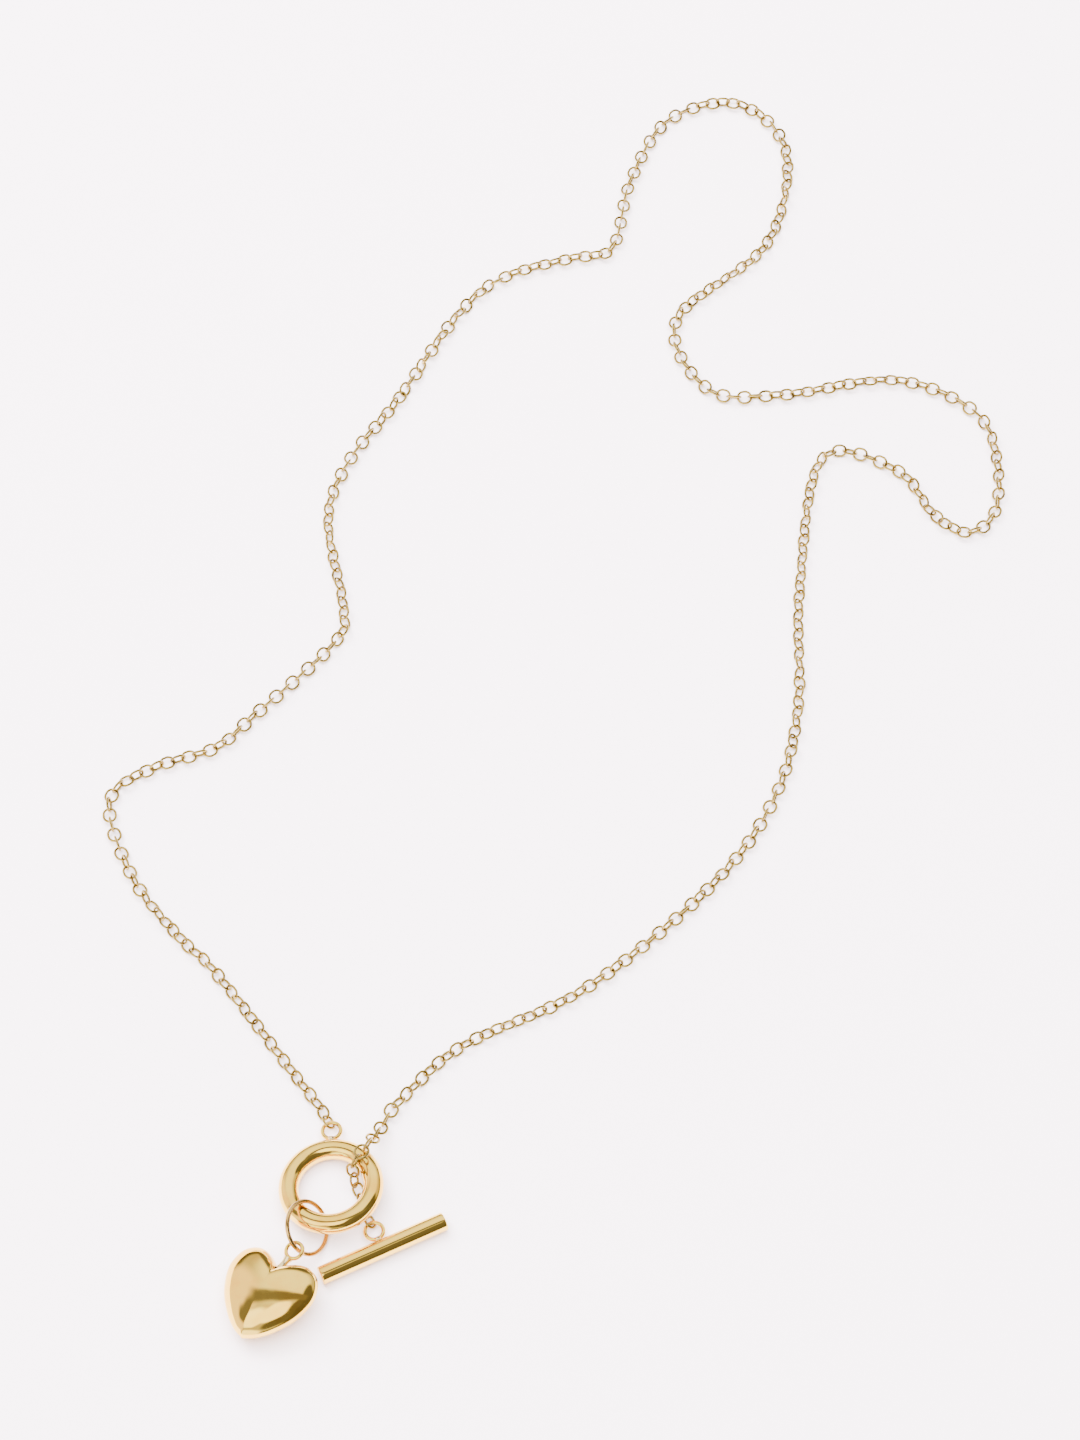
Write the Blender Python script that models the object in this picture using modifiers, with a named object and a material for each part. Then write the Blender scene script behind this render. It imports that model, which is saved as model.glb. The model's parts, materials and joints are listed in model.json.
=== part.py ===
"""Toggle-clasp necklace with a puffed heart charm, lying closed on a flat surface.

The clasp ring leans a little: its near right limb is raised, because the end of
the chain and the charm's jump ring pass beneath it. All sizes are millimetres in
the clasp frame, whose origin is below the clasp ring's centre, until place()
turns them into metres in the part's own frame.
"""
import math

import bmesh
import bpy
from mathutils import Matrix, Vector

MM = 0.001
NAME = "heart_toggle_necklace"

# The part's origin is the bottom centre of everything but the chain's free run.
CLASP_X = -1.0
CLASP_Y = 3.3
FLOOR_GAP = 0.02

# Fineness of the meshes: sides around a ring, and across its wire or tube
CLASP_SIDES = (56, 20)
EYE_SIDES = (24, 8)
LINK_SIDES = (18, 6)
BAR_SIDES = 32
POST_SIDES = 16
JUMP_POINTS = 40
CURVE_PIECES = 12
SHARP_ANGLE = math.radians(50.0)

# Clasp ring
RING_OUTER_D = 14.0
RING_TUBE_D = 2.7
RING_TILT = math.radians(9.5)
RING_RAISED_SIDE = math.radians(-60.0)

# Soldered eyes of the ring and of the bar
EYE_OUTER_D = 3.0
EYE_WIRE_D = 0.55
EYE_GAP = 0.03
RING_EYE_AT = math.radians(91.5)

# Toggle bar
BAR_LENGTH = 18.0
BAR_D = 2.5
BAR_CHAMFER = 0.15
BAR_CENTRE = (6.95, -8.28)
BAR_ANGLE = math.radians(25.3)
BAR_EYE_DIP = math.radians(-5.0)

# Charm's jump ring, a split ring of round wire that leans on the clasp ring
JUMP_OUTER_D = 7.6
JUMP_WIRE_D = 0.6
JUMP_CENTRE = (-2.98, -5.92, 2.87)
JUMP_NORMAL = (0.707, -0.13, 0.695)
JUMP_SPLIT = math.radians(1.2)
JUMP_SPLIT_AT = math.radians(200.0)

# Heart: right half of the outline, from the tip up to the cleft
HEART_OUTLINE = [
    (0.0, 0.0),
    (1.7, 0.75),
    (3.4, 2.15),
    (5.2, 4.4),
    (6.25, 6.9),
    (6.4, 8.9),
    (5.6, 10.9),
    (4.0, 11.9),
    (2.4, 11.8),
    (1.0, 11.0),
    (0.0, 9.9),
]
HEART_THICK = 5.2
HEART_WALL = 0.45
HEART_SEAM_GAP = 0.04
HEART_CROWN = (0.0, 1.0, 0.0)
HEART_POINTS = 18
DOME_RINGS = 7
DOME_SKIRT = 0.4
DOME_FULLNESS = 0.9
HEART_CENTRE_UP = 6.2
HEART_CENTRE = (-8.3, -15.6, 2.98)
HEART_LEAN = math.radians(-27.0)
HEART_ROLL = math.radians(-12.0)
HEART_PITCH = math.radians(4.0)

# Heart's bail: a small ring on a short post that stands in the cleft
BAIL_OUTER_D = 2.8
BAIL_WIRE_D = 0.55
BAIL_UP = 7.2
BAIL_SIDE = 0.6
POST_TOP_D = 0.9
POST_FOOT_D = 0.3
POST_FOOT_UP = 4.1

# Cable chain
LINK_LONG = 2.3
LINK_WIDE = 2.05
LINK_WIRE = 0.35
LINK_SLACK = 0.04
LINK_PITCH = LINK_LONG - 2.0 * LINK_WIRE - LINK_SLACK
LINK_ROLL = math.radians(45.0)
CHAIN_D = 2.0
CHAIN_SPACING = 6.5
TUBE_CLEARANCE = 0.48

# The chain's free run on the surface, from the clasp ring's end to the bar's end
CHAIN_ROUTE = [
    (-4.4, 15.3), (-16.4, 31.6), (-21.2, 36.5), (-28.3, 45.8), (-32.2, 57.8),
    (-26.3, 63.0), (-17.8, 66.1), (-12.8, 71.0), (-1.4, 83.1), (-0.4, 88.8),
    (-2.9, 103.3), (-0.1, 113.1), (6.7, 123.4), (15.5, 138.5), (22.3, 145.1),
    (32.4, 148.5), (38.4, 150.3), (41.2, 162.4), (47.1, 173.7), (57.7, 176.7),
    (64.8, 167.9), (61.4, 151.0), (47.7, 137.5), (52.2, 125.4), (63.0, 124.4),
    (79.5, 127.0), (90.8, 121.8), (93.8, 114.1), (93.2, 104.6), (89.0, 101.0),
    (84.1, 104.3), (79.5, 111.4), (68.5, 113.6), (64.6, 91.4), (63.9, 72.9),
    (60.3, 58.6), (51.5, 45.2), (33.9, 29.4), (16.9, 20.7), (8.5, 12.8),
]
CHAIN_HEIGHT = 1.02

# Where the separate end links join: out of the ring's eye, and from the bar's eye under
# the ring's near limb, up through its hole, over its far limb and down to the surface
LEFT_END = [(-0.25, 9.05, 0.95), (-1.2, 10.9, 0.95), (-2.5, 12.8, 0.95), (-4.4, 15.3, 1.02)]
LEFT_LINKS = 4
RIGHT_END = [
    (5.44, -5.08, 0.97),
    (4.85, -3.6, 0.88),
    (4.4, -2.1, 0.88),
    (3.9, -0.6, 0.9),
    (3.3, 0.5, 1.1),
    (2.95, 1.3, 2.0),
    (2.75, 2.0, 3.3),
    (3.3, 3.0, 4.4),
    (4.15, 4.2, 4.6),
    (4.95, 5.45, 4.15),
    (5.6, 6.75, 3.0),
    (6.15, 8.1, 1.7),
    (6.85, 9.7, 1.1),
    (7.6, 11.2, 1.0),
    (8.5, 12.8, 1.02),
]

# Points that the moving pieces turn about
CHARM_HINGE = (-2.84, -4.86, 2.77)
HEART_HINGE = (-4.34, -9.12, 3.64)
BAR_HINGE = (5.77, -5.78, 1.03)
RING_LINK_HINGE = (-0.6, 9.75, 0.95)
BAR_LINK_HINGE = (5.15, -4.36, 0.93)

GOLD = (0.83, 0.61, 0.27)
GOLD_ROUGHNESS = 0.12
PALE_GOLD = (0.86, 0.68, 0.38)
PALE_GOLD_ROUGHNESS = 0.22


def place(point):
    """A clasp-frame point in millimetres, in the part's frame in metres."""
    x, y, z = point
    return Vector(((x + CLASP_X) * MM, (y + CLASP_Y) * MM, z * MM))


def clear_scene():
    for obj in list(bpy.data.objects):
        bpy.data.objects.remove(obj, do_unlink=True)


def gold(name, colour, roughness):
    material = bpy.data.materials.new(name)
    material.use_nodes = True
    shader = material.node_tree.nodes["Principled BSDF"]
    shader.inputs["Base Color"].default_value = (*colour, 1.0)
    shader.inputs["Metallic"].default_value = 1.0
    shader.inputs["Roughness"].default_value = roughness
    return material


def hinge(name, point):
    """Empty that carries the pieces which turn together about one point."""
    empty = bpy.data.objects.new(name, None)
    empty.location = place(point)
    bpy.data.collections[NAME].objects.link(empty)
    return empty


def add(name, data, matrix, material, carrier=None):
    obj = bpy.data.objects.new(name, data)
    if carrier:
        obj.parent = carrier
        obj.matrix_parent_inverse = Matrix.Translation(carrier.location).inverted()
    obj.matrix_basis = matrix
    data.materials.clear()
    data.materials.append(material)
    bpy.data.collections[NAME].objects.link(obj)
    return obj


def frame(origin, along, up):
    """Matrix with X along a direction, Z as near to up as that allows."""
    x_axis = Vector(along).normalized()
    y_axis = Vector(up).cross(x_axis).normalized()
    z_axis = x_axis.cross(y_axis)
    turn = Matrix((x_axis, y_axis, z_axis)).transposed()
    return Matrix.Translation(origin) @ turn.to_4x4()


def smooth_mesh(mesh):
    mesh.shade_smooth()
    mesh.set_sharp_from_angle(angle=SHARP_ANGLE)
    return mesh


def torus(outer_d, wire_d, sides, stretch=0.0):
    """Ring mesh in its own XY plane; stretch pulls its two halves apart along X."""
    major = (outer_d - wire_d) / 2.0
    bpy.ops.mesh.primitive_torus_add(
        major_radius=major * MM,
        minor_radius=wire_d / 2.0 * MM,
        major_segments=sides[0],
        minor_segments=sides[1],
        rotation=(0.0, 0.0, 0.0),
    )
    obj = bpy.context.object
    mesh = obj.data
    bpy.data.objects.remove(obj)
    for vertex in mesh.vertices:
        vertex.co.x += math.copysign(stretch / 2.0 * MM, vertex.co.x) if stretch else 0.0
    return smooth_mesh(mesh)


def smooth_path(points):
    """Catmull-Rom curve through the points, as a dense list."""
    nodes = [Vector(point) for point in points]
    nodes = [2 * nodes[0] - nodes[1]] + nodes + [2 * nodes[-1] - nodes[-2]]
    path = []
    for a, b, c, d in zip(nodes, nodes[1:], nodes[2:], nodes[3:]):
        for step in range(CURVE_PIECES):
            t = step / CURVE_PIECES
            path.append(0.5 * (2 * b + (c - a) * t + (2 * a - 5 * b + 4 * c - d) * t ** 2
                               + (3 * b - 3 * c + d - a) * t ** 3))
    path.append(nodes[-2])
    return path


def at_length(path, distance):
    """Point at a distance along a dense path, and past its end in a straight line."""
    for a, b in zip(path, path[1:]):
        step = (b - a).length
        if distance <= step:
            return a.lerp(b, distance / step)
        distance -= step
    return path[-1] + (path[-1] - path[-2]).normalized() * distance


def path_length(path):
    return sum((b - a).length for a, b in zip(path, path[1:]))


def ring_frame():
    """The clasp ring's plane: X towards its raised side, Z along its axis."""
    major = (RING_OUTER_D - RING_TUBE_D) / 2.0
    height = major * math.sin(RING_TILT) + RING_TUBE_D / 2.0 + FLOOR_GAP
    level = Matrix.Translation(place((0.0, 0.0, height)))
    return level @ Matrix.Rotation(RING_RAISED_SIDE, 4, "Z") @ Matrix.Rotation(-RING_TILT, 4, "Y")


def make_clasp_ring(material):
    add("toggle_ring", torus(RING_OUTER_D, RING_TUBE_D, CLASP_SIDES), ring_frame(), material)
    reach = (RING_OUTER_D + EYE_OUTER_D) / 2.0 + EYE_GAP
    azimuth = RING_EYE_AT - RING_RAISED_SIDE
    shift = Vector((reach * math.cos(azimuth), reach * math.sin(azimuth), 0.0)) * MM
    eye = ring_frame() @ Matrix.Translation(shift)
    add("toggle_ring_eye", torus(EYE_OUTER_D, EYE_WIRE_D, EYE_SIDES), eye, material)


def make_bar(material):
    turning = hinge("bar_hinge", BAR_HINGE)
    centre = place((*BAR_CENTRE, BAR_D / 2.0 + FLOOR_GAP))
    along = Vector((math.cos(BAR_ANGLE), math.sin(BAR_ANGLE), 0.0))
    radius = BAR_D / 2.0
    mesh = bpy.data.meshes.new("toggle_bar")
    rod = bmesh.new()
    bmesh.ops.create_cone(rod, cap_ends=True, segments=BAR_SIDES, radius1=radius * MM,
                          radius2=radius * MM, depth=BAR_LENGTH * MM)
    rims = [edge for edge in rod.edges if abs(edge.verts[0].co.z - edge.verts[1].co.z) < MM * 0.01]
    bmesh.ops.bevel(rod, geom=rims, offset=BAR_CHAMFER * MM, segments=2, profile=0.5,
                    affect="EDGES")
    rod.transform(Matrix.Rotation(math.pi / 2.0, 4, "Y"))
    rod.to_mesh(mesh)
    rod.free()
    add("toggle_bar", smooth_mesh(mesh), frame(centre, along, (0, 0, 1)), material, turning)
    dip = Matrix.Rotation(BAR_EYE_DIP, 3, along)
    across = dip @ Vector((-along.y, along.x, 0.0))
    eye_centre = centre + across * (radius + EYE_OUTER_D / 2.0 + EYE_GAP) * MM
    eye = torus(EYE_OUTER_D, EYE_WIRE_D, EYE_SIDES)
    stance = frame(eye_centre, along, dip @ Vector((0, 0, 1)))
    add("toggle_bar_eye", eye, stance, material, turning)


def make_jump_ring(material):
    """Open wire ring whose two ends meet at a fine butt split."""
    curve = bpy.data.curves.new("charm_jump_ring", "CURVE")
    curve.dimensions = "3D"
    curve.bevel_depth = JUMP_WIRE_D / 2.0 * MM
    curve.bevel_resolution = 2
    curve.use_fill_caps = True
    spline = curve.splines.new("POLY")
    spline.points.add(JUMP_POINTS - 1)
    major = (JUMP_OUTER_D - JUMP_WIRE_D) / 2.0 * MM
    for index, point in enumerate(spline.points):
        turn = JUMP_SPLIT_AT + JUMP_SPLIT / 2.0
        turn += (2.0 * math.pi - JUMP_SPLIT) * index / (JUMP_POINTS - 1)
        point.co = (major * math.cos(turn), major * math.sin(turn), 0.0, 1.0)
    spline.use_smooth = True
    normal = Vector(JUMP_NORMAL).normalized()
    side = Vector((0, 0, 1)).cross(normal)
    matrix = frame(place(JUMP_CENTRE), side, normal)
    add("charm_jump_ring", curve, matrix, material, hinge("charm_hinge", CHARM_HINGE))


def heart_outline():
    """Closed outline of both halves, starting at the tip, about the heart's centre."""
    half = smooth_path([(x, y, 0.0) for x, y in HEART_OUTLINE])
    step = path_length(half) / HEART_POINTS
    right = [at_length(half, step * k) for k in range(HEART_POINTS + 1)]
    left = [Vector((-p.x, p.y, 0.0)) for p in reversed(right[1:-1])]
    return [Vector((p.x, p.y - HEART_CENTRE_UP, 0.0)) for p in right + left]


def heart_matrix():
    turn = Matrix.Rotation(HEART_LEAN, 4, "Z") @ Matrix.Rotation(HEART_PITCH, 4, "X")
    return Matrix.Translation(place(HEART_CENTRE)) @ turn @ Matrix.Rotation(HEART_ROLL, 4, "Y")


def heart_shell(name, side, material, carrier):
    """One stamped half: a dome over the outline, given its wall by Solidify."""
    outline = heart_outline()
    crown = Vector(HEART_CROWN)
    dome = bmesh.new()
    levels = []
    for ring in [0.0, DOME_SKIRT] + list(range(1, DOME_RINGS)):
        angle = math.pi / 2.0 * ring / DOME_RINGS
        reach = 1.0 if ring <= DOME_SKIRT else math.cos(angle) ** DOME_FULLNESS
        height = HEART_THICK / 2.0 * math.sin(angle) + HEART_SEAM_GAP / 2.0
        level = []
        for point in outline:
            spot = crown.lerp(point, reach)
            level.append(dome.verts.new((spot.x * MM, spot.y * MM, side * height * MM)))
        levels.append(level)
    top = HEART_THICK / 2.0 + HEART_SEAM_GAP / 2.0
    peak = dome.verts.new((crown.x * MM, crown.y * MM, side * top * MM))
    count = len(outline)
    for lower, upper in zip(levels, levels[1:]):
        for k in range(count):
            nxt = (k + 1) % count
            dome.faces.new((lower[k], lower[nxt], upper[nxt], upper[k]))
    for k in range(count):
        dome.faces.new((levels[-1][k], levels[-1][(k + 1) % count], peak))
    if side < 0:
        bmesh.ops.reverse_faces(dome, faces=dome.faces)
    mesh = bpy.data.meshes.new(name)
    dome.to_mesh(mesh)
    dome.free()
    mesh.shade_smooth()
    obj = add(name, mesh, heart_matrix(), material, carrier)
    wall = obj.modifiers.new("wall", "SOLIDIFY")
    wall.thickness = HEART_WALL * MM
    wall.offset = -1.0
    wall.use_rim = True


def make_heart(material):
    turning = hinge("heart_hinge", HEART_HINGE)
    heart_shell("heart_front_shell", 1.0, material, turning)
    heart_shell("heart_back_shell", -1.0, material, turning)
    bail_centre = Vector((BAIL_SIDE, BAIL_UP, 0.0))
    bail = heart_matrix() @ Matrix.Translation(bail_centre * MM)
    add("heart_bail", torus(BAIL_OUTER_D, BAIL_WIRE_D, EYE_SIDES), bail, material, turning)
    foot = Vector((0.0, POST_FOOT_UP, 0.0))
    reach = BAIL_OUTER_D / 2.0 + EYE_GAP
    top = bail_centre + (foot - bail_centre).normalized() * reach
    mesh = bpy.data.meshes.new("heart_bail_post")
    post = bmesh.new()
    bmesh.ops.create_cone(post, cap_ends=True, segments=POST_SIDES, radius1=POST_FOOT_D / 2.0 * MM,
                          radius2=POST_TOP_D / 2.0 * MM, depth=(top - foot).length * MM)
    post.transform(Matrix.Rotation(math.pi / 2.0, 4, "Y"))
    post.to_mesh(mesh)
    post.free()
    stand = frame((top + foot) / 2.0 * MM, top - foot, (0, 0, 1))
    add("heart_bail_post", smooth_mesh(mesh), heart_matrix() @ stand, material, turning)


def link_matrices(points, count, first_roll):
    """Placement of interlocked links along a path, each rolled a quarter turn on."""
    path = smooth_path(points)
    joints = [at_length(path, LINK_PITCH * k) for k in range(count + 1)]
    up = Vector((0.0, 0.0, 1.0))
    matrices = []
    before = None
    for index, (a, b) in enumerate(zip(joints, joints[1:])):
        along = (b - a).normalized()
        if before is not None:
            up = before.rotation_difference(along) @ up
        before = along
        roll = first_roll + (math.pi / 2.0 if index % 2 else 0.0)
        tilted = Matrix.Rotation(roll, 3, along) @ up
        matrices.append(frame(place((a + b) / 2.0), along, tilted))
    return matrices


def make_end_links(name, points, count, turning, material):
    """Row of separate links; the first one, in its eye, turns about a point."""
    mesh = torus(LINK_WIDE, LINK_WIRE, LINK_SIDES, LINK_LONG - LINK_WIDE)
    for index, matrix in enumerate(link_matrices(points, count, LINK_ROLL)):
        carrier = turning if index == 0 else None
        add(f"{name}_{index + 1:02d}", mesh, matrix, material, carrier)


def make_chain_run(material, bar_links):
    """Plain tube for the chain's free run, between the two rows of separate links."""
    left = smooth_path(LEFT_END)
    right = smooth_path(RIGHT_END)
    run = smooth_path([(x, y, CHAIN_HEIGHT) for x, y in CHAIN_ROUTE])
    total = path_length(run)
    start = LINK_PITCH * LEFT_LINKS - path_length(left) + TUBE_CLEARANCE
    finish = total + path_length(right) - LINK_PITCH * bar_links - TUBE_CLEARANCE
    start = max(start, 0.0)
    finish = min(finish, total)
    count = int((finish - start) / CHAIN_SPACING) + 1
    curve = bpy.data.curves.new("chain_run", "CURVE")
    curve.dimensions = "3D"
    curve.bevel_depth = CHAIN_D / 2.0 * MM
    curve.bevel_resolution = 2
    curve.use_fill_caps = True
    spline = curve.splines.new("POLY")
    spline.points.add(count - 1)
    for index, point in enumerate(spline.points):
        spot = at_length(run, start + (finish - start) * index / (count - 1))
        point.co = (*place(spot), 1.0)
    spline.use_smooth = True
    add("chain_run", curve, Matrix.Identity(4), material)


def main():
    clear_scene()
    collection = bpy.data.collections.new(NAME)
    bpy.context.scene.collection.children.link(collection)
    polished = gold("polished_gold", GOLD, GOLD_ROUGHNESS)
    chain_gold = gold("chain_gold", PALE_GOLD, PALE_GOLD_ROUGHNESS)
    make_clasp_ring(polished)
    make_bar(polished)
    make_jump_ring(polished)
    make_heart(polished)
    ring_link = hinge("ring_link_hinge", RING_LINK_HINGE)
    make_end_links("link_ring_end", LEFT_END, LEFT_LINKS, ring_link, chain_gold)
    bar_link = hinge("bar_link_hinge", BAR_LINK_HINGE)
    bar_links = int(path_length(smooth_path(RIGHT_END)) / LINK_PITCH)
    make_end_links("link_bar_end", RIGHT_END, bar_links, bar_link, chain_gold)
    make_chain_run(chain_gold, bar_links)


main()
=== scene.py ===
"""Looks of a toggle-clasp necklace: polished gold clasp and puffed heart, fine cable chain.

Every fine piece is placed from the CAD node that it stands for. Sizes are metres.
"""
import json
import math
import random

import bpy
import numpy as np
from mathutils import Matrix, Vector


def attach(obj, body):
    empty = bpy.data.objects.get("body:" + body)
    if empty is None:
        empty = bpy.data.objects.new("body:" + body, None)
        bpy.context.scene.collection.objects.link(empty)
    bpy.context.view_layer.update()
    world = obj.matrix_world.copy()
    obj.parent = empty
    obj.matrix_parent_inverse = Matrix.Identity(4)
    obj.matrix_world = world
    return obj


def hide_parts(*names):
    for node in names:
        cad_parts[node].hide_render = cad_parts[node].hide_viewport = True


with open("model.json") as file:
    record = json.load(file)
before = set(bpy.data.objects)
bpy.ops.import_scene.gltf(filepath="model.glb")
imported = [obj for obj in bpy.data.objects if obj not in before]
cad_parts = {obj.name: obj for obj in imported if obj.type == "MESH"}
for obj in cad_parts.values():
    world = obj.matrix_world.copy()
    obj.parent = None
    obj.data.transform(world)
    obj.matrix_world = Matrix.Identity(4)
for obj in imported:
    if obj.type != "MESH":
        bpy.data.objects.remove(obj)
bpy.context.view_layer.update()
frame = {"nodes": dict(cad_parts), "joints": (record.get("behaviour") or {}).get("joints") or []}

MM = 0.001

# Camera: steep view from in front of the heart
VIEW_AIM = (0.0266, 0.0743, 0.0)
VIEW_ELEVATION = math.radians(62.0)
VIEW_DISTANCE = 0.59
VIEW_LENS = 105.0

# Clasp ring, bar and their soldered eyes
RING_OUTER_D = 14.0 * MM
RING_TUBE_D = 2.7 * MM
EYE_OUTER_D = 3.0 * MM
EYE_WIRE_D = 0.55 * MM
SOLDER_LENGTH = 0.62 * MM
SOLDER_WIDTH = 0.8 * MM
SOLDER_FLARE = 1.45
SOLDER_SINK = 0.1 * EYE_WIRE_D
BAR_D = 2.5 * MM
BAR_CHAMFER = 0.22 * MM
BAR_SHOULDER = 2.5 * BAR_CHAMFER
BAR_FACE = 0.45

# Charm's split jump ring
JUMP_OUTER_D = 7.6 * MM
JUMP_WIRE_D = 0.6 * MM
JUMP_SPLIT = math.radians(1.2)
JUMP_SPLIT_AT = math.radians(200.0)

# Heart: right half of the outline in millimetres, from the tip up to the cleft
HEART_OUTLINE = [
    (0.0, 0.0), (1.7, 0.75), (3.4, 2.15), (5.2, 4.4), (6.25, 6.9), (6.4, 8.9),
    (5.6, 10.9), (4.0, 11.9), (2.4, 11.8), (1.0, 11.0), (0.0, 9.9),
]
HEART_CENTRE_UP = 6.2 * MM
HEART_THICK = 5.2 * MM
HEART_WALL = 0.45 * MM
HEART_SEAM_GAP = 0.04 * MM
HEART_CROWN = Vector((0.0, 1.0 * MM, 0.0))
HEART_ROUND = 4.6 * MM
HEART_ROUNDING = 0.8
HEART_POINTS = 72
DOME_RINGS = 30
DOME_FULLNESS = 0.9
BAIL_OUTER_D = 2.8 * MM
BAIL_WIRE_D = 0.55 * MM
POST_TOP_D = 1.25 * MM
POST_WAIST_D = 0.95 * MM
POST_FLARE = 1.4
POST_INTO_BAIL = 0.3 * EYE_WIRE_D

# How finely the shapes are cut: around and across a wire ring, and the sides of round pieces
CURVE_PIECES = 12
RING_CUTS = (160, 56)
EYE_CUTS = (64, 20)
JUMP_CUTS = (140, 24)
LINK_CUTS = (28, 10)
SOLDER_SIDES = 32
SOLDER_STEPS = 12
BAR_SIDES = 72
CHAMFER_STEPS = 6
POST_SIDES = 40
POST_STEPS = 16
SHARP_ANGLE = math.radians(40.0)

# Cable chain
LINK_LONG = 2.3 * MM
LINK_WIDE = 2.05 * MM
LINK_WIRE = 0.35 * MM
LINK_SLACK = 0.04 * MM
LINK_PITCH = LINK_LONG - 2.0 * LINK_WIRE - LINK_SLACK
LINK_LOWEST = 0.7
CHAIN_HEIGHT = 1.02 * MM

# The chain's free run, from the clasp ring's end to the bar's end
CHAIN_ROUTE = [
    (-0.0054, 0.0186), (-0.0174, 0.0349), (-0.0222, 0.0398), (-0.0293, 0.0491),
    (-0.0332, 0.0611), (-0.0273, 0.0663), (-0.0188, 0.0694), (-0.0138, 0.0743),
    (-0.0024, 0.0864), (-0.0014, 0.0921), (-0.0039, 0.1066), (-0.0011, 0.1164),
    (0.0057, 0.1267), (0.0145, 0.1418), (0.0213, 0.1484), (0.0314, 0.1518),
    (0.0374, 0.1536), (0.0402, 0.1657), (0.0461, 0.1770), (0.0567, 0.1800),
    (0.0638, 0.1712), (0.0604, 0.1543), (0.0467, 0.1408), (0.0512, 0.1287),
    (0.0620, 0.1277), (0.0785, 0.1303), (0.0898, 0.1251), (0.0928, 0.1174),
    (0.0922, 0.1079), (0.0880, 0.1043), (0.0831, 0.1076), (0.0785, 0.1147),
    (0.0675, 0.1169), (0.0636, 0.0947), (0.0629, 0.0762), (0.0593, 0.0619),
    (0.0505, 0.0485), (0.0329, 0.0327), (0.0159, 0.0240), (0.0075, 0.0161),
]

# Turn of the links about the chain at some of the route's points, in degrees: at 0 they
# lie flat and stand upright in turn, at 45 they lean left and right in turn
LINK_TURNS = [
    (0, 45), (2, 42), (3, 10), (5, -5), (7, 8), (8, 42), (10, 48), (11, 20), (12, 0),
    (14, -450), (15, -448), (17, -452), (18, -420), (19, -450), (20, -410), (21, -405),
    (22, -448), (23, -410), (24, -448), (25, -450), (26, -430), (27, -408), (28, -440),
    (29, -450), (30, -415), (31, -405), (32, -408), (34, -402), (35, -448), (37, -445),
    (38, -412), (39, -405),
]
TURN_JITTER = 7.0
YAW_JITTER = 2.5
CHAIN_SEED = 7

# Colours, linear RGB
GOLD = (0.92, 0.61, 0.10)
GOLD_DEEP = (0.86, 0.50, 0.06)
CHAIN_GOLD = (0.42, 0.30, 0.07)
CHAIN_GOLD_DEEP = (0.19, 0.13, 0.03)
WIRE_GOLD = (0.60, 0.38, 0.12)
WIRE_GOLD_DEEP = (0.50, 0.30, 0.09)
SOLDER_GOLD = (0.93, 0.72, 0.36)
SOLDER_GOLD_DEEP = (0.85, 0.60, 0.25)
TABLE = (0.985, 0.885, 0.95)
TABLE_SHADE = (0.965, 0.865, 0.93)
WALL = (1.0, 0.96, 0.88)
SOFTBOX = (1.0, 0.98, 0.92)
CARD_PEACH = (1.0, 0.85, 0.76)
ROOM_DARK = (0.12, 0.115, 0.13)
KEY_LIGHT = (1.0, 0.96, 0.98)
FILL_LIGHT = (1.0, 0.97, 0.985)

# Gold surface: noise scales per metre, ramp stops, and the spread and depth of the marks
TINT_SCALE = 240.0
TINT_STOPS = (0.3, 0.52)
SMEAR_SCALE = 900.0
SMEAR_SPAN = (0.35, 0.75)
SMEAR_ROUGHNESS = (0.7, 1.6)
SCRATCH_TURN = (0.3, 0.2, 0.7)
SCRATCH_SCALE = (700.0, 9000.0, 4000.0)
SCRATCH_STRENGTH = 0.1
SCRATCH_DEPTH = 0.004 * MM
DINT_SCALE = 420.0
DINT_STRENGTH = 0.18
DINT_DEPTH = 0.06 * MM

# Table
TABLE_HALF = 3.0
TABLE_ROUGHNESS = 0.7
TABLE_CLOUD_SCALE = 6.0

# What the gold reflects, each painted over the ones before: direction, the angles in degrees
# at which it is full and gone, colour, strength
ROOM_BASE = 1.6
ROOM_PATCHES = [
    ((0.0, 0.0, 1.0), 75.0, 83.0, WALL, 1.2),
    ((0.1, 0.55, 1.0), 22.0, 50.0, SOFTBOX, 2.6),
    ((0.2, 1.0, 0.15), 14.0, 26.0, ROOM_DARK, 2.0),
    ((-1.0, 0.1, 0.4), 30.0, 42.0, CARD_PEACH, 2.6),
    ((0.75, -0.5, 0.45), 32.0, 44.0, ROOM_DARK, 1.6),
    ((0.15, -0.75, 0.64), 15.0, 23.0, ROOM_DARK, 2.0),
    ((-0.08, -0.38, 0.92), 14.0, 19.0, SOFTBOX, 4.2),
    ((-0.5, -0.36, 0.79), 14.0, 20.0, SOFTBOX, 4.2),
    ((-0.45, -0.88, 0.14), 18.0, 26.0, SOFTBOX, 4.2),
    ((0.4, -0.4, 0.83), 9.0, 15.0, ROOM_DARK, 2.0),
    ((0.7, 0.0, 0.71), 15.0, 22.0, ROOM_DARK, 1.8),
    ((-0.84, -0.02, 0.54), 6.0, 13.0, ROOM_DARK, 2.8),
    ((-0.72, 0.06, 0.69), 6.0, 13.0, ROOM_DARK, 2.8),
]

# Dark strip overhead: square to a direction, full and gone angles off it, heights at which
# it ends, strength
STRIP_ACROSS = (0.33, 1.0, -0.02)
STRIP_ANGLES = (4.0, 9.5)
STRIP_HEIGHTS = (0.6, 0.78)
STRIP_STRENGTH = 2.8

# Lamps: place, side lengths in metres, watts
KEY_PLACE = (-0.4, 0.5, 0.75)
KEY_SIZE = (0.6, 0.6)
KEY_POWER = 24.0
FILL_PLACE = (0.0, 0.15, 1.3)
FILL_SIZE = (1.6, 1.6)
FILL_POWER = 118.0

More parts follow.
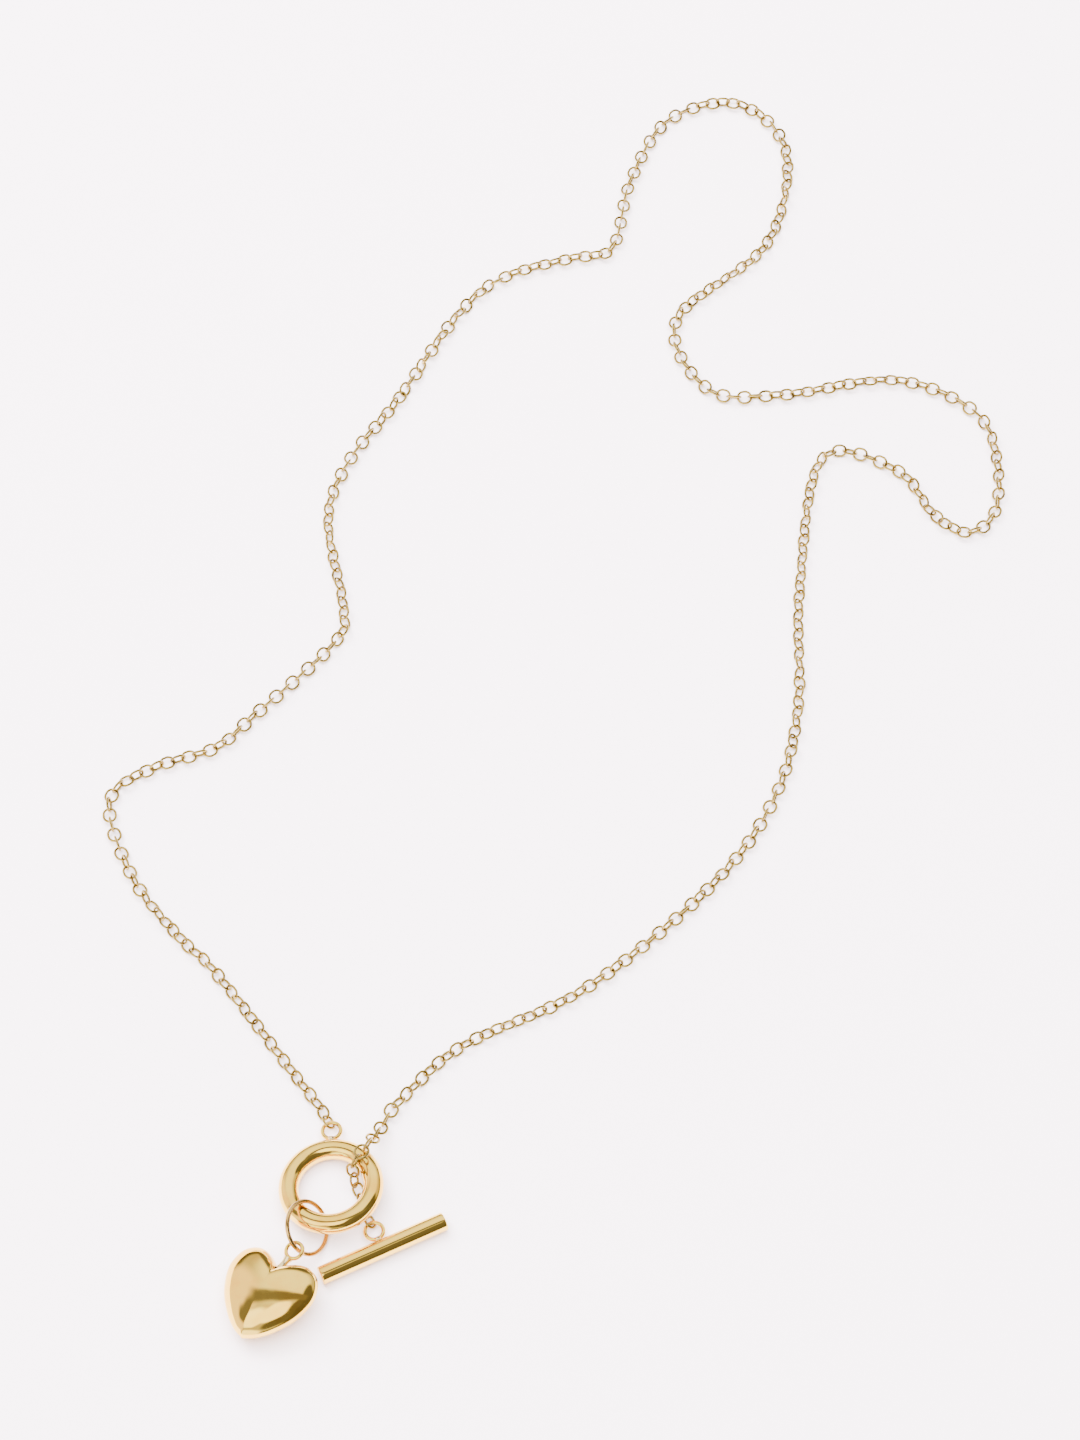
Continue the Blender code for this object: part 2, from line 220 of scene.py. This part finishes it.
# Sockets of the colour mix node: its first and second colour, and its result
MIX_FIRST = 6
MIX_SECOND = 7
MIX_RESULT = 2


def smooth_path(points):
    """Catmull-Rom curve through the points, as a dense list."""
    nodes = [Vector(point) for point in points]
    nodes = [2 * nodes[0] - nodes[1]] + nodes + [2 * nodes[-1] - nodes[-2]]
    path = []
    for a, b, c, d in zip(nodes, nodes[1:], nodes[2:], nodes[3:]):
        for step in range(CURVE_PIECES):
            t = step / CURVE_PIECES
            path.append(0.5 * (2 * b + (c - a) * t + (2 * a - 5 * b + 4 * c - d) * t ** 2
                               + (3 * b - 3 * c + d - a) * t ** 3))
    path.append(nodes[-2])
    return path


def lengths_along(path):
    """Length of the path up to each of its points."""
    total = [0.0]
    for a, b in zip(path, path[1:]):
        total.append(total[-1] + (b - a).length)
    return total


def even_points(path, count):
    """count + 1 points, evenly spaced along a dense path."""
    total = lengths_along(path)
    wanted = np.linspace(0.0, total[-1], count + 1)
    columns = [np.interp(wanted, total, [p[axis] for p in path]) for axis in range(3)]
    return [Vector(point) for point in zip(*columns)]


def axes(x_axis, near_z):
    """Turn with X along a direction and Z as near to another as that allows."""
    x_axis = Vector(x_axis).normalized()
    y_axis = Vector(near_z).cross(x_axis).normalized()
    return Matrix((x_axis, y_axis, x_axis.cross(y_axis))).transposed().to_4x4()


def fit(*nodes):
    """Centre of CAD nodes and their axes: X along the longest, Z along the thinnest."""
    points = [v.co for node in nodes for v in frame["nodes"][node].data.vertices]
    spots = np.unique(np.round(np.array(points, float), 6), axis=0)
    middle = spots.mean(axis=0)
    spread = np.linalg.eigh(np.cov((spots - middle).T))[1]
    thin = Vector(spread[:, 0])
    if thin.z < 0:
        thin.negate()
    return Matrix.Translation(middle) @ axes(spread[:, 2], thin)


def new_piece(name, parts, matrix, material, body, slot, *nodes):
    """One mesh object made of (points, faces) parts, riding on a body."""
    points = []
    faces = []
    for part_points, part_faces in parts:
        start = len(points)
        points.extend(part_points)
        faces.extend([[start + corner for corner in face] for face in part_faces])
    mesh = bpy.data.meshes.new(name)
    mesh.from_pydata([matrix @ point for point in points], [], faces)
    mesh.shade_smooth()
    mesh.set_sharp_from_angle(angle=SHARP_ANGLE)
    piece = bpy.data.objects.new(name, mesh)
    bpy.context.scene.collection.objects.link(piece)
    mesh.materials.append(material)
    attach(piece, body)
    if nodes:
        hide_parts(*nodes)
    return piece


def swept(rows, closed=True, capped=False):
    """Points and faces of rows of points, each row a closed loop."""
    across = len(rows[0])
    points = [point for row in rows for point in row]
    faces = []
    for i in range(len(rows) if closed else len(rows) - 1):
        here = i * across
        there = (i + 1) % len(rows) * across
        for k in range(across):
            nxt = (k + 1) % across
            faces.append((here + nxt, there + nxt, there + k, here + k))
    if capped:
        faces.append(tuple(reversed(range(across))))
        faces.append(tuple(range(len(points) - across, len(points))))
    return points, faces


def ring(outer_d, wire_d, cuts, stretch=0.0, split=0.0, split_at=0.0):
    """Round or oval wire ring in its own XY plane, closed or with a fine split."""
    around, across = cuts
    major = (outer_d - wire_d) / 2.0
    minor = wire_d / 2.0
    rows = []
    for i in range(around + 1 if split else around):
        turn = split_at + split / 2.0 + (2.0 * math.pi - split) * i / around
        out = Vector((math.cos(turn), math.sin(turn), 0.0))
        pull = Vector((math.copysign(stretch / 2.0, out.x) if stretch else 0.0, 0.0, 0.0))
        row = []
        for k in range(across):
            angle = -2.0 * math.pi * k / across
            row.append(out * (major + minor * math.cos(angle)) + pull
                       + Vector((0.0, 0.0, minor * math.sin(angle))))
        rows.append(row)
    return swept(rows, closed=not split, capped=bool(split))


def turned(profile, sides):
    """Solid turned about X from (place along X, radius) pairs."""
    rows = []
    for place, radius in profile:
        rows.append([Vector((place, radius * math.cos(2.0 * math.pi * k / sides),
                             radius * math.sin(2.0 * math.pi * k / sides)))
                     for k in range(sides)])
    return swept(rows, closed=False, capped=True)


def solder():
    """Waisted bead of solder about X, wider where it wets the pieces at its ends."""
    profile = []
    for step in range(SOLDER_STEPS + 1):
        t = step / (SOLDER_STEPS / 2.0) - 1.0
        profile.append((t * SOLDER_LENGTH / 2.0,
                        SOLDER_WIDTH / 2.0 * (1.0 + (SOLDER_FLARE - 1.0) * t * t)))
    return turned(profile, SOLDER_SIDES)


def link(matrix):
    """One oval chain link, placed."""
    points, faces = ring(LINK_WIDE, LINK_WIRE, LINK_CUTS, LINK_LONG - LINK_WIDE)
    return [matrix @ point for point in points], faces


def gold(name, colour, deep, roughness, grain):
    """Polished plating: cloudy tint, fine polishing scratches and small dints."""
    material = bpy.data.materials.new(name)
    material.use_nodes = True
    nodes = material.node_tree.nodes
    links = material.node_tree.links
    shader = nodes["Principled BSDF"]
    shader.inputs["Metallic"].default_value = 1.0
    place = nodes.new("ShaderNodeTexCoord")

    cloud = nodes.new("ShaderNodeTexNoise")
    cloud.inputs["Scale"].default_value = TINT_SCALE * grain
    cloud.inputs["Detail"].default_value = 4.0
    tint = nodes.new("ShaderNodeValToRGB")
    tint.color_ramp.elements[0].position = TINT_STOPS[0]
    tint.color_ramp.elements[0].color = (*deep, 1.0)
    tint.color_ramp.elements[1].position = TINT_STOPS[1]
    tint.color_ramp.elements[1].color = (*colour, 1.0)
    links.new(place.outputs["Object"], cloud.inputs["Vector"])
    links.new(cloud.outputs["Fac"], tint.inputs["Fac"])
    links.new(tint.outputs["Color"], shader.inputs["Base Color"])

    smear = nodes.new("ShaderNodeTexNoise")
    smear.inputs["Scale"].default_value = SMEAR_SCALE * grain
    smear.inputs["Detail"].default_value = 6.0
    dull = nodes.new("ShaderNodeMapRange")
    dull.inputs["From Min"].default_value = SMEAR_SPAN[0]
    dull.inputs["From Max"].default_value = SMEAR_SPAN[1]
    dull.inputs["To Min"].default_value = roughness * SMEAR_ROUGHNESS[0]
    dull.inputs["To Max"].default_value = roughness * SMEAR_ROUGHNESS[1]
    links.new(place.outputs["Object"], smear.inputs["Vector"])
    links.new(smear.outputs["Fac"], dull.inputs["Value"])
    links.new(dull.outputs["Result"], shader.inputs["Roughness"])

    drawn = nodes.new("ShaderNodeMapping")
    drawn.inputs["Rotation"].default_value = SCRATCH_TURN
    drawn.inputs["Scale"].default_value = [scale * grain for scale in SCRATCH_SCALE]
    scratch = nodes.new("ShaderNodeTexNoise")
    scratch.inputs["Scale"].default_value = 1.0
    scratch.inputs["Detail"].default_value = 3.0
    dint = nodes.new("ShaderNodeTexNoise")
    dint.inputs["Scale"].default_value = DINT_SCALE * grain
    dint.inputs["Detail"].default_value = 1.0
    fine = nodes.new("ShaderNodeBump")
    fine.inputs["Strength"].default_value = SCRATCH_STRENGTH
    fine.inputs["Distance"].default_value = SCRATCH_DEPTH
    broad = nodes.new("ShaderNodeBump")
    broad.inputs["Strength"].default_value = DINT_STRENGTH
    broad.inputs["Distance"].default_value = DINT_DEPTH
    links.new(place.outputs["Object"], drawn.inputs["Vector"])
    links.new(drawn.outputs["Vector"], scratch.inputs["Vector"])
    links.new(place.outputs["Object"], dint.inputs["Vector"])
    links.new(dint.outputs["Fac"], broad.inputs["Height"])
    links.new(scratch.outputs["Fac"], fine.inputs["Height"])
    links.new(broad.outputs["Normal"], fine.inputs["Normal"])
    links.new(fine.outputs["Normal"], shader.inputs["Normal"])
    return material


def make_camera():
    """Camera at the photo's angle, straight in front."""
    data = bpy.data.cameras.new("camera")
    data.lens = VIEW_LENS
    camera = bpy.data.objects.new("camera", data)
    bpy.context.scene.collection.objects.link(camera)
    back = Vector((0.0, -math.cos(VIEW_ELEVATION), math.sin(VIEW_ELEVATION)))
    camera.location = Vector(VIEW_AIM) + back * VIEW_DISTANCE
    camera.rotation_euler = (math.pi / 2.0 - VIEW_ELEVATION, 0.0, 0.0)
    bpy.context.scene.camera = camera


def make_chain(material):
    """The free run as one mesh of interlocked links, from one row of end links to the other."""
    run = [Vector((x, y, CHAIN_HEIGHT)) for x, y in CHAIN_ROUTE]
    ends = []
    for node, towards in (("link_ring_end_04", run[1]), ("link_bar_end_14", run[-2])):
        last = fit(node)
        along = last.to_3x3() @ Vector((LINK_PITCH / 2.0, 0.0, 0.0))
        if along.dot(towards - last.translation) < 0:
            along.negate()
        ends.append(last.translation + along)
    path = smooth_path([ends[0]] + run[1:-1] + [ends[1]])
    total = lengths_along(path)
    count = round(total[-1] / LINK_PITCH)
    joints = even_points(path, count)
    per_point = (len(path) - 1) / (len(run) - 1)
    marks = [total[round(index * per_point)] / total[-1] for index, _ in LINK_TURNS]
    turns = [turn for _, turn in LINK_TURNS]
    chance = random.Random(CHAIN_SEED)
    parts = []
    for k in range(count):
        a, b = joints[k], joints[k + 1]
        along = b - a
        along.z = 0.0
        yaw = Matrix.Rotation(math.radians(chance.gauss(0.0, YAW_JITTER)), 3, "Z")
        turn = float(np.interp((k + 0.5) / count, marks, turns)) + 90.0 * (k % 2)
        roll = math.radians(turn + chance.gauss(0.0, TURN_JITTER))
        rise = max(abs(math.sin(roll)), LINK_LOWEST)
        middle = (a + b) / 2.0
        middle.z = LINK_WIRE / 2.0 + (LINK_WIDE - LINK_WIRE) / 2.0 * rise
        along = yaw @ along
        up = Matrix.Rotation(roll, 3, along.normalized()) @ Vector((0, 0, 1))
        parts.append(link(Matrix.Translation(middle) @ axes(along, up)))
    chain = new_piece("cable_chain", parts, Matrix.Identity(4), material, "clasp",
                      "chain_gold", "chain_run")


def make_end_links(material):
    """The separate links at both ends; the first of each row rolls in its eye."""
    names = sorted(name for name in frame["nodes"] if name.startswith("link_"))
    rolling = {"link_ring_end_01": "ring_link", "link_bar_end_01": "bar_link"}
    for name, body in rolling.items():
        new_piece(name + "_wire", [link(fit(name))], Matrix.Identity(4), material, body,
                  "chain_gold", name)
    for row in ("ring", "bar"):
        held = [n for n in names if n.startswith(f"link_{row}") and n not in rolling]
        new_piece(f"{row}_end_links", [link(fit(n)) for n in held], Matrix.Identity(4),
                  material, "clasp", "chain_gold", *held)


def make_eye(node, owner, body, material, solder_material):
    """Wire eye and the bead of solder that holds it to its owner's surface."""
    eye = fit(node)
    new_piece(node + "_wire", [ring(EYE_OUTER_D, EYE_WIRE_D, EYE_CUTS)], eye, material, body,
              "polished_gold", node)
    to_owner = owner - eye.translation
    foot = eye.translation + to_owner.normalized() * (EYE_OUTER_D / 2.0 - SOLDER_SINK)
    bead = Matrix.Translation(foot) @ axes(to_owner, (0, 0, 1))
    new_piece(node + "_solder", [solder()], bead, solder_material, body, "polished_gold")


def make_clasp_ring(material, solder_material):
    """The round tube ring of the clasp and its eye."""
    placed = fit("toggle_ring")
    new_piece("clasp_ring", [ring(RING_OUTER_D, RING_TUBE_D, RING_CUTS)], placed, material,
              "clasp", "polished_gold", "toggle_ring")
    make_eye("toggle_ring_eye", placed.translation, "clasp", material, solder_material)


def make_bar(material, solder_material):
    """The clasp's bar, with softened edges at its flat ends, and its eye."""
    placed = fit("toggle_bar")
    inverse = placed.inverted()
    ends = [(inverse @ v.co).x for v in frame["nodes"]["toggle_bar"].data.vertices]
    half = (max(ends) - min(ends)) / 2.0
    radius = BAR_D / 2.0
    edge = []
    for step in range(CHAMFER_STEPS + 1):
        turn = math.pi / 2.0 * step / CHAMFER_STEPS
        edge.append((half - BAR_CHAMFER * (1.0 - math.sin(turn)),
                     radius - BAR_CHAMFER * (1.0 - math.cos(turn))))
    right = [(half - BAR_SHOULDER, radius), *edge, (half, radius * BAR_FACE)]
    profile = [(-x, r) for x, r in reversed(right)] + right
    new_piece("bar", [turned(profile, BAR_SIDES)], placed, material, "bar", "polished_gold",
              "toggle_bar")
    eye = fit("toggle_bar_eye").translation
    along = (placed.to_3x3() @ Vector((1, 0, 0))).normalized()
    nearest = placed.translation + along * (eye - placed.translation).dot(along)
    make_eye("toggle_bar_eye", nearest, "bar", material, solder_material)


def make_jump_ring(material):
    """The split ring that carries the heart; X is level, so the split has a fixed place."""
    placed = fit("charm_jump_ring")
    normal = placed.to_3x3() @ Vector((0, 0, 1))
    level = Vector((0, 0, 1)).cross(normal)
    turned_frame = Matrix.Translation(placed.translation) @ axes(level, normal)
    wire = ring(JUMP_OUTER_D, JUMP_WIRE_D, JUMP_CUTS, 0.0, JUMP_SPLIT, JUMP_SPLIT_AT)
    new_piece("jump_ring", [wire], turned_frame, material, "charm_ring", "polished_gold",
              "charm_jump_ring")


def heart_place():
    """The heart's own frame: X across, Y from tip to cleft, Z through the front."""
    swing = next(joint for joint in frame["joints"] if joint["name"] == "heart_swing")
    across = -Vector(swing["axis"])
    shells = ("heart_front_shell", "heart_back_shell")
    front = fit(*shells).to_3x3() @ Vector((0, 0, 1))
    turn = axes(across, front).to_3x3()
    inverse = turn.inverted()
    points = [inverse @ v.co for node in shells for v in frame["nodes"][node].data.vertices]
    spots = np.array(points, float)
    low, high = spots.min(axis=0), spots.max(axis=0)
    middle = Vector(((low[0] + high[0]) / 2.0, low[1] + HEART_CENTRE_UP,
                     (low[2] + high[2]) / 2.0))
    return Matrix.Translation(turn @ middle) @ turn.to_4x4()


def heart_outline():
    """The whole outline about the heart's centre, evenly spaced."""
    half = smooth_path([(x * MM, y * MM - HEART_CENTRE_UP, 0.0) for x, y in HEART_OUTLINE])
    right = even_points(half, HEART_POINTS)
    left = [Vector((-p.x, p.y, 0.0)) for p in reversed(right[1:-1])]
    return right + left


def heart_dome(thick, inset, base):
    """Rows of a dome over the outline; its level curves grow rounder towards the top."""
    outline = heart_outline()
    rows = []
    for level in range(DOME_RINGS):
        angle = math.pi / 2.0 * level / DOME_RINGS
        reach = math.cos(angle) ** DOME_FULLNESS
        height = base + (thick - base) * math.sin(angle)
        row = []
        for point in outline:
            out = point - HEART_CROWN
            far = out.length - inset
            far = HEART_ROUND + (far - HEART_ROUND) * reach ** HEART_ROUNDING
            spot = HEART_CROWN + out.normalized() * far * reach
            row.append(Vector((spot.x, spot.y, height)))
        rows.append(row)
    return rows


def heart_shell(side):
    """Closed stamped half: an outer dome, a flat seam edge and an inner dome."""
    base = HEART_SEAM_GAP / 2.0
    outer = heart_dome(HEART_THICK / 2.0 + base, 0.0, base)
    inner = heart_dome(HEART_THICK / 2.0 + base - HEART_WALL, HEART_WALL, base)
    rows = list(reversed(outer)) + inner
    points, faces = swept(rows, closed=False, capped=True)
    points = [Vector((p.x, p.y, side * p.z)) for p in points]
    if side > 0:
        faces = [tuple(reversed(face)) for face in faces]
    return points, faces


def make_heart(material, solder_material):
    """Both stamped halves, the bail and the waisted post between them and the bail."""
    placed = heart_place()
    for name, side in (("front", 1.0), ("back", -1.0)):
        new_piece(f"heart_{name}", [heart_shell(side)], placed, material, "heart",
                  "polished_gold", f"heart_{name}_shell")
    bail = fit("heart_bail")
    new_piece("bail", [ring(BAIL_OUTER_D, BAIL_WIRE_D, EYE_CUTS)], bail, material, "heart",
              "polished_gold", "heart_bail")
    post = fit("heart_bail_post")
    up = bail.translation - post.translation
    stand = Matrix.Translation(post.translation) @ axes(up, placed.to_3x3() @ Vector((0, 0, 1)))
    inverse = stand.inverted()
    along = [(inverse @ v.co).x for v in frame["nodes"]["heart_bail_post"].data.vertices]
    low, high = min(along), max(along)
    profile = []
    for step in range(POST_STEPS + 1):
        t = step / POST_STEPS
        wide = POST_WAIST_D + (POST_TOP_D - POST_WAIST_D) * (2.0 * t - 1.0) ** 2 * POST_FLARE
        profile.append((low + (high + POST_INTO_BAIL - low) * t, wide / 2.0))
    new_piece("bail_post", [turned(profile, POST_SIDES)], stand, solder_material, "heart",
              "polished_gold", "heart_bail_post")


def make_table():
    """Plain pale surface under the necklace."""
    mesh = bpy.data.meshes.new("table")
    signs = ((-1, -1), (1, -1), (1, 1), (-1, 1))
    corners = [(x * TABLE_HALF, y * TABLE_HALF, 0.0) for x, y in signs]
    mesh.from_pydata(corners, [], [(0, 1, 2, 3)])
    table = bpy.data.objects.new("table", mesh)
    bpy.context.scene.collection.objects.link(table)
    material = bpy.data.materials.new("table")
    material.use_nodes = True
    nodes = material.node_tree.nodes
    shader = nodes["Principled BSDF"]
    shader.inputs["Roughness"].default_value = TABLE_ROUGHNESS
    cloud = nodes.new("ShaderNodeTexNoise")
    cloud.inputs["Scale"].default_value = TABLE_CLOUD_SCALE
    tint = nodes.new("ShaderNodeValToRGB")
    tint.color_ramp.elements[0].color = (*TABLE_SHADE, 1.0)
    tint.color_ramp.elements[1].color = (*TABLE, 1.0)
    place = nodes.new("ShaderNodeTexCoord")
    links = material.node_tree.links
    links.new(place.outputs["Object"], cloud.inputs["Vector"])
    links.new(cloud.outputs["Fac"], tint.inputs["Fac"])
    links.new(tint.outputs["Color"], shader.inputs["Base Color"])
    mesh.materials.append(material)


class Room:
    """World shader of soft boxes and dark walls, painted one over another by direction."""

    def __init__(self, colour, strength):
        self.world = bpy.data.worlds.new("studio")
        bpy.context.scene.world = self.world
        self.world.use_nodes = True
        tree = self.world.node_tree
        self.nodes = tree.nodes
        self.links = tree.links
        self.nodes.clear()
        place = self.nodes.new("ShaderNodeTexCoord")
        self.direction = place.outputs["Generated"]
        start = self.nodes.new("ShaderNodeRGB")
        start.outputs[0].default_value = (*[c * strength for c in colour], 1.0)
        self.colour = start.outputs[0]

    def along(self, axis):
        """How far a direction points along an axis, from -1 to 1."""
        dot = self.nodes.new("ShaderNodeVectorMath")
        dot.operation = "DOT_PRODUCT"
        dot.inputs[1].default_value = Vector(axis).normalized()
        self.links.new(self.direction, dot.inputs[0])
        return dot.outputs["Value"]

    def step(self, value, none, full):
        """A soft step from 0 where the value is `none` to 1 where it is `full`."""
        edge = self.nodes.new("ShaderNodeMapRange")
        edge.interpolation_type = "SMOOTHSTEP"
        edge.inputs["From Min"].default_value = none
        edge.inputs["From Max"].default_value = full
        self.links.new(value, edge.inputs["Value"])
        return edge.outputs["Result"]

    def combine(self, operation, *values):
        """Result of a maths node on the values."""
        node = self.nodes.new("ShaderNodeMath")
        node.operation = operation
        for value, socket in zip(values, node.inputs):
            self.links.new(value, socket)
        return node.outputs["Value"]

    def paint(self, mask, colour, strength):
        """Lay a colour over what is there, as strong as the mask says."""
        mix = self.nodes.new("ShaderNodeMix")
        mix.data_type = "RGBA"
        mix.inputs[MIX_SECOND].default_value = (*[c * strength for c in colour], 1.0)
        self.links.new(mask, mix.inputs["Factor"])
        self.links.new(self.colour, mix.inputs[MIX_FIRST])
        self.colour = mix.outputs[MIX_RESULT]

    def patch(self, towards, inner, outer, colour, strength):
        """Round patch of colour about a direction, soft between two angles."""
        none, full = math.cos(math.radians(outer)), math.cos(math.radians(inner))
        self.paint(self.step(self.along(towards), none, full), colour, strength)

    def strip(self, across, inner, outer, low, high, colour, strength):
        """Strip of colour overhead, square to a direction, that ends between two heights."""
        none, full = math.sin(math.radians(outer)), math.sin(math.radians(inner))
        off = self.combine("ABSOLUTE", self.along(across))
        up = self.along((0.0, 0.0, 1.0))
        mask = self.combine("MULTIPLY", self.step(off, none, full), self.step(up, low, high))
        self.paint(mask, colour, strength)

    def finish(self):
        back = self.nodes.new("ShaderNodeBackground")
        out = self.nodes.new("ShaderNodeOutputWorld")
        self.links.new(self.colour, back.inputs["Color"])
        self.links.new(back.outputs["Background"], out.inputs["Surface"])


def make_room():
    """Bright walls and softboxes, a dark strip overhead and dark gaps to the front and right."""
    room = Room(ROOM_DARK, ROOM_BASE)
    for patch in ROOM_PATCHES:
        room.patch(*patch)
    room.strip(STRIP_ACROSS, *STRIP_ANGLES, *STRIP_HEIGHTS, ROOM_DARK, STRIP_STRENGTH)
    room.finish()


def make_softbox(name, place, size, power, colour):
    """Lamp aimed at the necklace; gold reflects the room instead, so it has no hard edges."""
    data = bpy.data.lights.new(name, "AREA")
    data.shape = "RECTANGLE"
    data.size = size[0]
    data.size_y = size[1]
    data.energy = power
    data.color = colour
    lamp = bpy.data.objects.new(name, data)
    bpy.context.scene.collection.objects.link(lamp)
    lamp.location = place
    lamp.visible_glossy = False
    aim = Vector(VIEW_AIM) - Vector(place)
    lamp.rotation_euler = aim.to_track_quat("-Z", "Y").to_euler()


def main():
    make_camera()
    chain_gold = gold("chain_gold_wire", CHAIN_GOLD, CHAIN_GOLD_DEEP, 0.16, 3.0)
    make_chain(chain_gold)
    make_end_links(chain_gold)
    polished = gold("polished_gold_plate", GOLD, GOLD_DEEP, 0.07, 1.0)
    soldered = gold("solder_gold", SOLDER_GOLD, SOLDER_GOLD_DEEP, 0.2, 2.0)
    make_clasp_ring(polished, soldered)
    make_bar(polished, soldered)
    make_jump_ring(gold("jump_ring_gold", WIRE_GOLD, WIRE_GOLD_DEEP, 0.12, 2.0))
    make_heart(polished, soldered)
    make_table()
    make_room()
    make_softbox("key", KEY_PLACE, KEY_SIZE, KEY_POWER, KEY_LIGHT)
    make_softbox("fill", FILL_PLACE, FILL_SIZE, FILL_POWER, FILL_LIGHT)


main()
